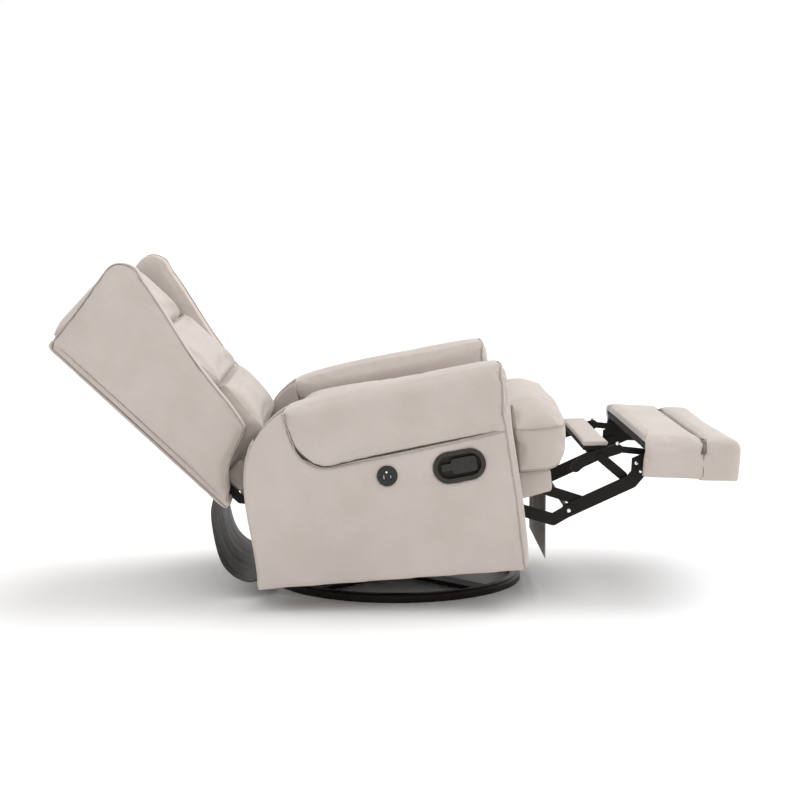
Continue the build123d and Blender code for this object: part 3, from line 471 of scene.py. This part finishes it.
def piping(name, line, hosts, body, radius=2.4, closed=False):
    """A piped seam: the covered cord, in the cover's fabric painted darker as shade, and a thin dark cord
    beside it that is painted shade for the crease where it is sewn in.
    """
    laid = laid_on(line, hosts, 0.5 * radius * MM)
    smooth = [sum((laid[k % len(line)] for k in (i - 1, i, i + 1)), Vector()) / 3
              if closed or 0 < i < len(line) - 1 else laid[i] for i in range(len(line))]
    cord = cord_along(name, smooth, radius * MM, body, piping_painted_shade_cloth, closed)
    centre = sum(smooth, Vector()) / len(smooth)
    inward = [place + (centre - place).normalized() * (radius + 0.8) * MM for place in smooth]
    # A thin dark cord along the inner side, painted shade for the crease where the piping is sewn in.
    cord_along(f"{name}_thread", laid_on(inward, hosts, 0.2 * MM), 1.0 * MM, body, seam_thread, closed)
    return cord


# --- arms ---------------------------------------------------------------------------------------
def front_line(up):
    """How far forward the arm's front edge is at a height, in the chair frame."""
    for (x0, z0), (x1, z1) in zip(ARM_FRONT_LINE, ARM_FRONT_LINE[1:]):
        if up <= z1:
            break
    return x0 + (x1 - x0) * (up - z0) / (z1 - z0)


def to_front_edge(piece):
    """Carries a side cover forward over the edge of the front panel."""
    for vertex in piece.data.vertices:
        forward, up = CHAIR.local(vertex.co)
        if forward > front_line(up) - FRONT_PANEL - ARM_FRONT_REACH:
            vertex.co = CHAIR.point(forward + FRONT_PANEL, up, vertex.co.y / MM)


def narrowed(piece):
    """Keeps the front panel inside the side covers that wrap its edges."""
    middle = (ARM_OUTER + ARM_INNER) / 2
    for vertex in piece.data.vertices:
        side = math.copysign(1, vertex.co.y)
        across = abs(vertex.co.y) / MM - middle
        vertex.co.y = side * (middle + across * ARM_PANEL_SHARE) * MM


def seam_height(forward):
    """How high the seam under the arm rest is, in the chair frame."""
    for (x0, z0), (x1, z1) in zip(ARM_SEAM[ARM_SEAM_LEVEL:], ARM_SEAM[ARM_SEAM_LEVEL + 1:]):
        if forward <= x1:
            break
    return z0 + (z1 - z0) * (forward - x0) / (x1 - x0)


def under_arm_rest(piece):
    """Carries a side cover to the front edge, and tucks its top edge up under the arm rest's pad."""
    for vertex in piece.data.vertices:
        forward, up = CHAIR.local(vertex.co)
        if forward > ARM_SEAM[ARM_SEAM_LEVEL][0] and up > seam_height(forward) - ARM_SEAM_REACH:
            vertex.co = CHAIR.point(forward, up + ARM_SEAM_TUCK, vertex.co.y / MM)
    to_front_edge(piece)


pad("arm_front_panels", "chair", ["arm_fronts"], 7, 14, shape=narrowed)
pad("arm_rear_panels", "chair", ["arm_rears"], 7, 3, start=0.4, frames=10)
for name, side in SIDES.items():
    arm_pad = pad(f"arm_rest_{name}", "chair", [f"arm_pad_{name}"], 7, 9, shape=to_front_edge)
    cover = pad(f"arm_side_{name}", "chair", [f"arm_outer_{name}"], 7, 4, start=0.4, shape=under_arm_rest,
                frames=10)
    inside = pad(f"arm_inside_{name}", "chair", [f"arm_inner_{name}"], 8, 5, start=0.4, shape=to_front_edge,
                 frames=10)
    y = side * ARM_OUTER
    seam = curve_through([CHAIR.point(x, z, y) for x, z in ARM_SEAM])
    piping(f"arm_seam_{name}", seam, [arm_pad, cover], "chair", radius=1.8)
    edge = [CHAIR.point(x, z, y) for x, z in ARM_FRONT_LINE[:3]]
    top = [CHAIR.point(258, 470, y), CHAIR.point(257, 520, side * (ARM_OUTER - 12)),
           CHAIR.point(257, 541, side * (ARM_OUTER - 45)), CHAIR.point(257, 544, side * 327),
           CHAIR.point(257, 530, side * (ARM_INNER + 22)), CHAIR.point(258, 500, side * ARM_INNER),
           CHAIR.point(262, 390, side * ARM_INNER)]
    piping(f"arm_front_piping_{name}", curve_through([*edge, *top], 12), [arm_pad, cover, inside], "chair")

# --- seat ---------------------------------------------------------------------------------------
pad("seat_pad", "chair", ["seat_cushion"], 8, 16, start=3)
pad("front_cheek_covers", "chair", ["front_cheeks"], 6, 1.5, start=0.4, frames=10)


def rounded_roll(piece):
    """Lets the front band swell from a slightly slimmer start, so that its seams stay behind it."""
    for vertex in piece.data.vertices:
        forward, up = CHAIR.local(vertex.co)
        if forward > ROLL_FRONT - ROLL_SLIM_START:
            vertex.co = CHAIR.point(forward - ROLL_SLIM, up, vertex.co.y / MM)


roll = pad("seat_front", "chair", ["seat_front_roll"], 7, 16, start=2, shape=rounded_roll)
for name, up in (("seat_band_piping", ROLL_SEAM), ("seat_low_piping", ROLL_LOW)):
    bend = 0.29 * ROLL_CORNER
    front = ROLL_FRONT - ROLL_SLIM
    half = [(ROLL_REAR, ROLL_HALF), (front - ROLL_CORNER, ROLL_HALF), (front - bend, ROLL_HALF - bend),
            (front, ROLL_HALF - ROLL_CORNER), (front, 120)]
    loop = [CHAIR.point(x, up, -y) for x, y in half] + [CHAIR.point(x, up, y) for x, y in reversed(half)]
    piping(name, curve_through(loop, 16), [roll], "chair", radius=1.8)

# --- back ---------------------------------------------------------------------------------------
back_cover = pad("back_rear_cover", "back", ["back_cover"], 8, 5, start=0.4, frames=10)


def into_the_cover(piece):
    """Carries a wing's rear edge back into the rear cover, which is sewn round it."""
    for vertex in piece.data.vertices:
        through, along = BACK.local(vertex.co)
        if through < FRAME_REAR + 4:
            vertex.co = BACK.point(through - WING_TUCK, along, vertex.co.y / MM)


for name, side in SIDES.items():
    wing = pad(f"wing_{name}", "back", [f"back_wing_{name}"], 7, 9, start=0.8, shape=into_the_cover)
    y = side * BACK_HALF
    line = curve_through([BACK.point(n, s, y) for n, s in WING_LINE], 8)
    rear = [line[-1].lerp(BACK.point(*WING_REAR_LOW, y), k / 40) for k in range(1, 41)]
    piping(f"wing_piping_{name}", [*line, *rear], [wing, back_cover], "back", radius=2.0)


def over_the_frame(piece):
    """Wraps the top section back over the timber frame to the rear cover."""
    for vertex in piece.data.vertices:
        through, along = BACK.local(vertex.co)
        if along > FRAME_TOP and through < PAD_REAR:
            vertex.co = BACK.point(FRAME_REAR - 8, along, vertex.co.y / MM)


for name, cap in (("lower", 12), ("middle", 9), ("upper", 11)):
    pad(f"back_pad_{name}", "back", [f"back_cushion_{name}"], 7, cap, start=1.5,
        shape=over_the_frame if name == "upper" else None)
pad("back_lower_cover", "back", ["back_lower_panel"], 7, 3, start=0.4, frames=10)


# --- leg rest -----------------------------------------------------------------------------------
def shade_hollow_faces(piece):
    """Near-black painted shade on the faces of the hollow under the leg rest: those facing down, the inner
    walls and the rear.
    """
    piece.data.materials.append(leg_hollow_shade)
    for face in piece.data.polygons:
        centre = face.center
        forward, up = LEG.local(centre)
        across = abs(centre.y) / MM
        inner = across < LEG_HALF - LEG_WALL + 6
        under = up < -LEG_PAD + 9 and face.normal.z < -0.4 and inner
        wall = abs(face.normal.y) > 0.6 and face.normal.y * centre.y < 0 and inner
        rear = forward < 25 and up < -17 and face.normal.x < -0.4 and across < LEG_HALF - LEG_WALL + 6
        walled = wall and -LEG_DEPTH + 8 < up < -LEG_PAD + 9
        face.material_index = 1 if under or walled or rear else 0


def round_over(piece):
    """Rounds the top edges of the leg rest along its sides and its front."""
    front = max(LEG.local(vertex.co)[0] for vertex in piece.data.vertices)
    for vertex in piece.data.vertices:
        forward, up = LEG.local(vertex.co)
        side, across = math.copysign(1, vertex.co.y), abs(vertex.co.y) / MM
        out = Vector((max(0, forward - front + LEG_ROUND) if front > LEG_SEAM + 20 else 0,
                      max(0, across - LEG_HALF + LEG_ROUND), max(0, up + LEG_ROUND)))
        if out.length > LEG_ROUND:
            kept = out * (LEG_ROUND / out.length)
            back = out - kept
            vertex.co = LEG.point(forward - back.x, up - back.z, side * (across - back.y))


LEG_SECTIONS = (
    ("leg_rest_rear_pad", ["leg_pad_rear"], (), 1, 7),
    ("leg_rest_front_pad", ["leg_pad_front", "leg_front"], ("leg_sides",), -1, 8),
)
leg_pads = []
for name, own, shared, direction, cap in LEG_SECTIONS:
    piece = copy_nodes(name, [*own, "leg_sides"])
    axis = LEG.point(direction, 0, 0) - LEG.point(0, 0, 0)
    cut_away(piece, LEG.point(LEG_SEAM + LEG_OVERLAP * direction, 0, 0), axis.normalized())
    voxels(piece, 6 * MM)
    round_over(piece)
    draw_in(piece, 1.0 * MM)
    swell(piece, cap * MM, 4.0)
    finish_pad(piece, "leg_rest", [*own, *shared])
    shade_hollow_faces(piece)
    leg_pads.append(piece)
section = [LEG.point(LEG_SEAM, up, -LEG_HALF if up < -14 else -(LEG_HALF - 14 - up * 0.9))
           for up in (-LEG_DEPTH + 1, -60, -30, -14, -2)]
across = [LEG.point(LEG_SEAM, 0, y) for y in range(-300, 301, 20)]
mirrored = [Vector((p.x, -p.y, p.z)) for p in reversed(section)]
seam_line = curve_through([*section, *across, *mirrored], 4)
# A thin dark cord in the leg rest's seam, painted shade for its groove.
cord_along("leg_rest_seam", laid_on(seam_line, leg_pads, 0.4 * MM), 1.1 * MM, "leg_rest", seam_thread)

pad("flipper_cover", "flipper", ["flipper_pad"], 4, 3, start=1, frames=10)


# --- hanging cloths -----------------------------------------------------------------------------
def sheet_of_cloth(name, profile, half, ripple, material, thickness=0.0012):
    """A cloth that hangs along a profile, the same across its width but for soft ripples."""
    line = curve_through(profile, 8)
    columns = 48
    deselect()
    bpy.ops.mesh.primitive_grid_add(x_subdivisions=columns, y_subdivisions=len(line) - 1, size=1)
    piece = bpy.context.view_layer.objects.active
    piece.name = name
    for vertex in piece.data.vertices:
        across = vertex.co.x * 2
        row = round((vertex.co.y + 0.5) * (len(line) - 1))
        share = row / (len(line) - 1)
        place = line[row]
        wave = math.sin(across * 9.0 + 2.2 * share) + 0.6 * math.sin(across * 21.0 - 3.0 * share)
        depth = ripple * math.sin(math.pi * share) * wave
        vertex.co = Vector((place.x + depth, across * half * MM, place.z + 0.3 * depth))
    apply_modifier(piece, "SOLIDIFY", thickness=thickness, offset=0.0)
    piece.data.materials.append(material)
    bpy.ops.object.shade_smooth()
    length = sum((b - a).length for a, b in zip(line, line[1:]))
    return piece, length


SLING_HALF, FLAP_HALF = 235.0, 200.0
sling_profile = [BACK.point(-1.5, 48, 0), Vector((-431, 0, 190)) * MM, Vector((-414, 0, 98)) * MM,
                 Vector((-384, 0, 53)) * MM, Vector((-340, 0, 36)) * MM, CHAIR.point(-298, 76.5, 0)]
sling, sling_length = sheet_of_cloth("rear_sling_cloth", sling_profile, SLING_HALF, 0.0007, sling_cloth)
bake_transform(sling)
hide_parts("rear_sling")

flap_profile = [CHAIR.point(357, 282, 0), Vector((347, 0, 228)) * MM, Vector((346.5, 0, 150)) * MM,
                Vector((346, 0, 82)) * MM]
flap, flap_length = sheet_of_cloth("front_flap_cloth", flap_profile, FLAP_HALF, 0.0015, flap_cloth)
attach(flap, "chair")
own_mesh(flap)
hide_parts("front_flap")


# --- rivets, port and handle --------------------------------------------------------------------
def rivet(name, place, face, radius, body, material=rivet_steel):
    """A domed rivet head on a link's outer face: a disc, drawn in and raised twice."""
    deselect()
    bpy.ops.mesh.primitive_circle_add(vertices=24, radius=radius, fill_type="NGON",
                                      location=(0, 0, 0), rotation=(math.pi / 2, 0, 0))
    piece = bpy.context.view_layer.objects.active
    piece.name = name
    bpy.ops.object.transform_apply(location=True, rotation=True, scale=True)
    side = math.copysign(1, face)
    bpy.ops.object.mode_set(mode="EDIT")
    bpy.ops.mesh.select_all(action="SELECT")
    for rise, shrink in ((0.0008, 1.0), (0.0008, 0.8), (0.0005, 0.6)):
        bpy.ops.mesh.extrude_region_move(TRANSFORM_OT_translate={"value": (0, side * rise, 0)})
        bpy.ops.transform.resize(value=(shrink, 1, shrink))
    bpy.ops.mesh.select_all(action="SELECT")
    bpy.ops.mesh.normals_make_consistent(inside=False)
    bpy.ops.object.mode_set(mode="OBJECT")
    for vertex in piece.data.vertices:
        vertex.co += Vector((place.x, face * MM, place.z))
    piece.data.materials.append(material)
    bpy.ops.object.shade_smooth_by_angle(angle=math.radians(40))
    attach(piece, body)


LAYER, LINK_OUTER = 6.0, 253.0
RIVETS = {
    "knee_rivet": (CHAIR.point(399, 176, 0), LINK_OUTER + 1, 4.6, "long_link_pair"),
    "carrier_rivet": (CHAIR.point(523.7, 320, 0), LINK_OUTER - 4 * LAYER, 4.2, "flipper"),
    "bracket_rivet": (LEG.point(-3.4, -70.9, 0), LINK_OUTER, 4.2, "leg_rest"),
    "toe_rivet": (CHAIR.point(570, 255, 0), LINK_OUTER, 3.6, "leg_rest"),
}
for name, (place, face, radius, body) in RIVETS.items():
    for side_name, side in SIDES.items():
        rivet(f"{name}_{side_name}", place, side * face, radius * MM, body)

port_low, port_high = (Vector(corner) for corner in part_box("charge_port"))
port_centre = CHAIR.local((port_low + port_high) / 2)
port_face = port_low.y / MM
lamp_place = CHAIR.point(port_centre[0] - 1, port_centre[1] + 8.5, 0)
rivet("port_lamp", lamp_place, port_face, 1.7 * MM, "chair", port_lamp_lens)
CONTACT_WIDE, CONTACT_LOW = 2.4, 2.0
for name, offset, tall in (("rear", -7.5, 10.0), ("front", 7.5, 7.5)):
    deselect()
    bpy.ops.mesh.primitive_cube_add(size=1, location=(0, 0, 0))
    strip = bpy.context.view_layer.objects.active
    strip.name = f"port_contact_{name}"
    for vertex in strip.data.vertices:
        x, y, z = vertex.co
        vertex.co = CHAIR.point(port_centre[0] + offset + CONTACT_WIDE * x,
                                port_centre[1] - CONTACT_LOW + tall * z, port_face + y)
    apply_modifier(strip, "BEVEL", width=0.35 * MM, segments=2)
    strip.data.materials.append(contact_strip)
    bpy.ops.object.shade_smooth_by_angle(angle=math.radians(40))
    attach(strip, "chair")

# --- stage --------------------------------------------------------------------------------------
deselect()
bpy.ops.mesh.primitive_plane_add(size=60, location=(0, 0, 0))
floor = bpy.context.view_layer.objects.active
floor.name = "studio_floor"
paper, paper_tree, paper_shader, paper_place = start_material("studio_paper")
paper_shade = ramp(paper_tree, noise(paper_tree, paper_place, 0.4), (0.90, 0.90, 0.90), (0.92, 0.92, 0.92))
paper_tree.links.new(paper_shade, paper_shader.inputs["Base Color"])
socket_values(paper_shader, Roughness=0.9, Specular_IOR_Level=0.1)
floor.data.materials.append(paper)

world = bpy.data.worlds.new("studio")
world.use_nodes = True
world.node_tree.nodes["Background"].inputs["Color"].default_value = (1.0, 1.0, 1.0, 1)
world.node_tree.nodes["Background"].inputs["Strength"].default_value = 1.0
bpy.context.scene.world = world


# One wide soft light from above, behind and to the sitter's left, so that the near side stays even.
lamp = bpy.data.lights.new("wide_softbox", "SUN")
lamp.energy = 1.6
lamp.angle = math.radians(50)
softbox = bpy.data.objects.new("wide_softbox", lamp)
bpy.context.collection.objects.link(softbox)
softbox.rotation_euler = Vector((-0.45, -0.35, -0.82)).to_track_quat("-Z", "Y").to_euler()

camera = bpy.data.objects.new("camera", bpy.data.cameras.new("camera"))
bpy.context.collection.objects.link(camera)
camera.location = (-0.075, -4.3, 0.917)
camera.rotation_euler = (math.radians(83.59), 0, math.radians(-1.127))
camera.data.lens = 80.1
camera.data.sensor_width = 36
bpy.context.scene.camera = camera
bpy.context.scene.view_settings.view_transform = "Standard"
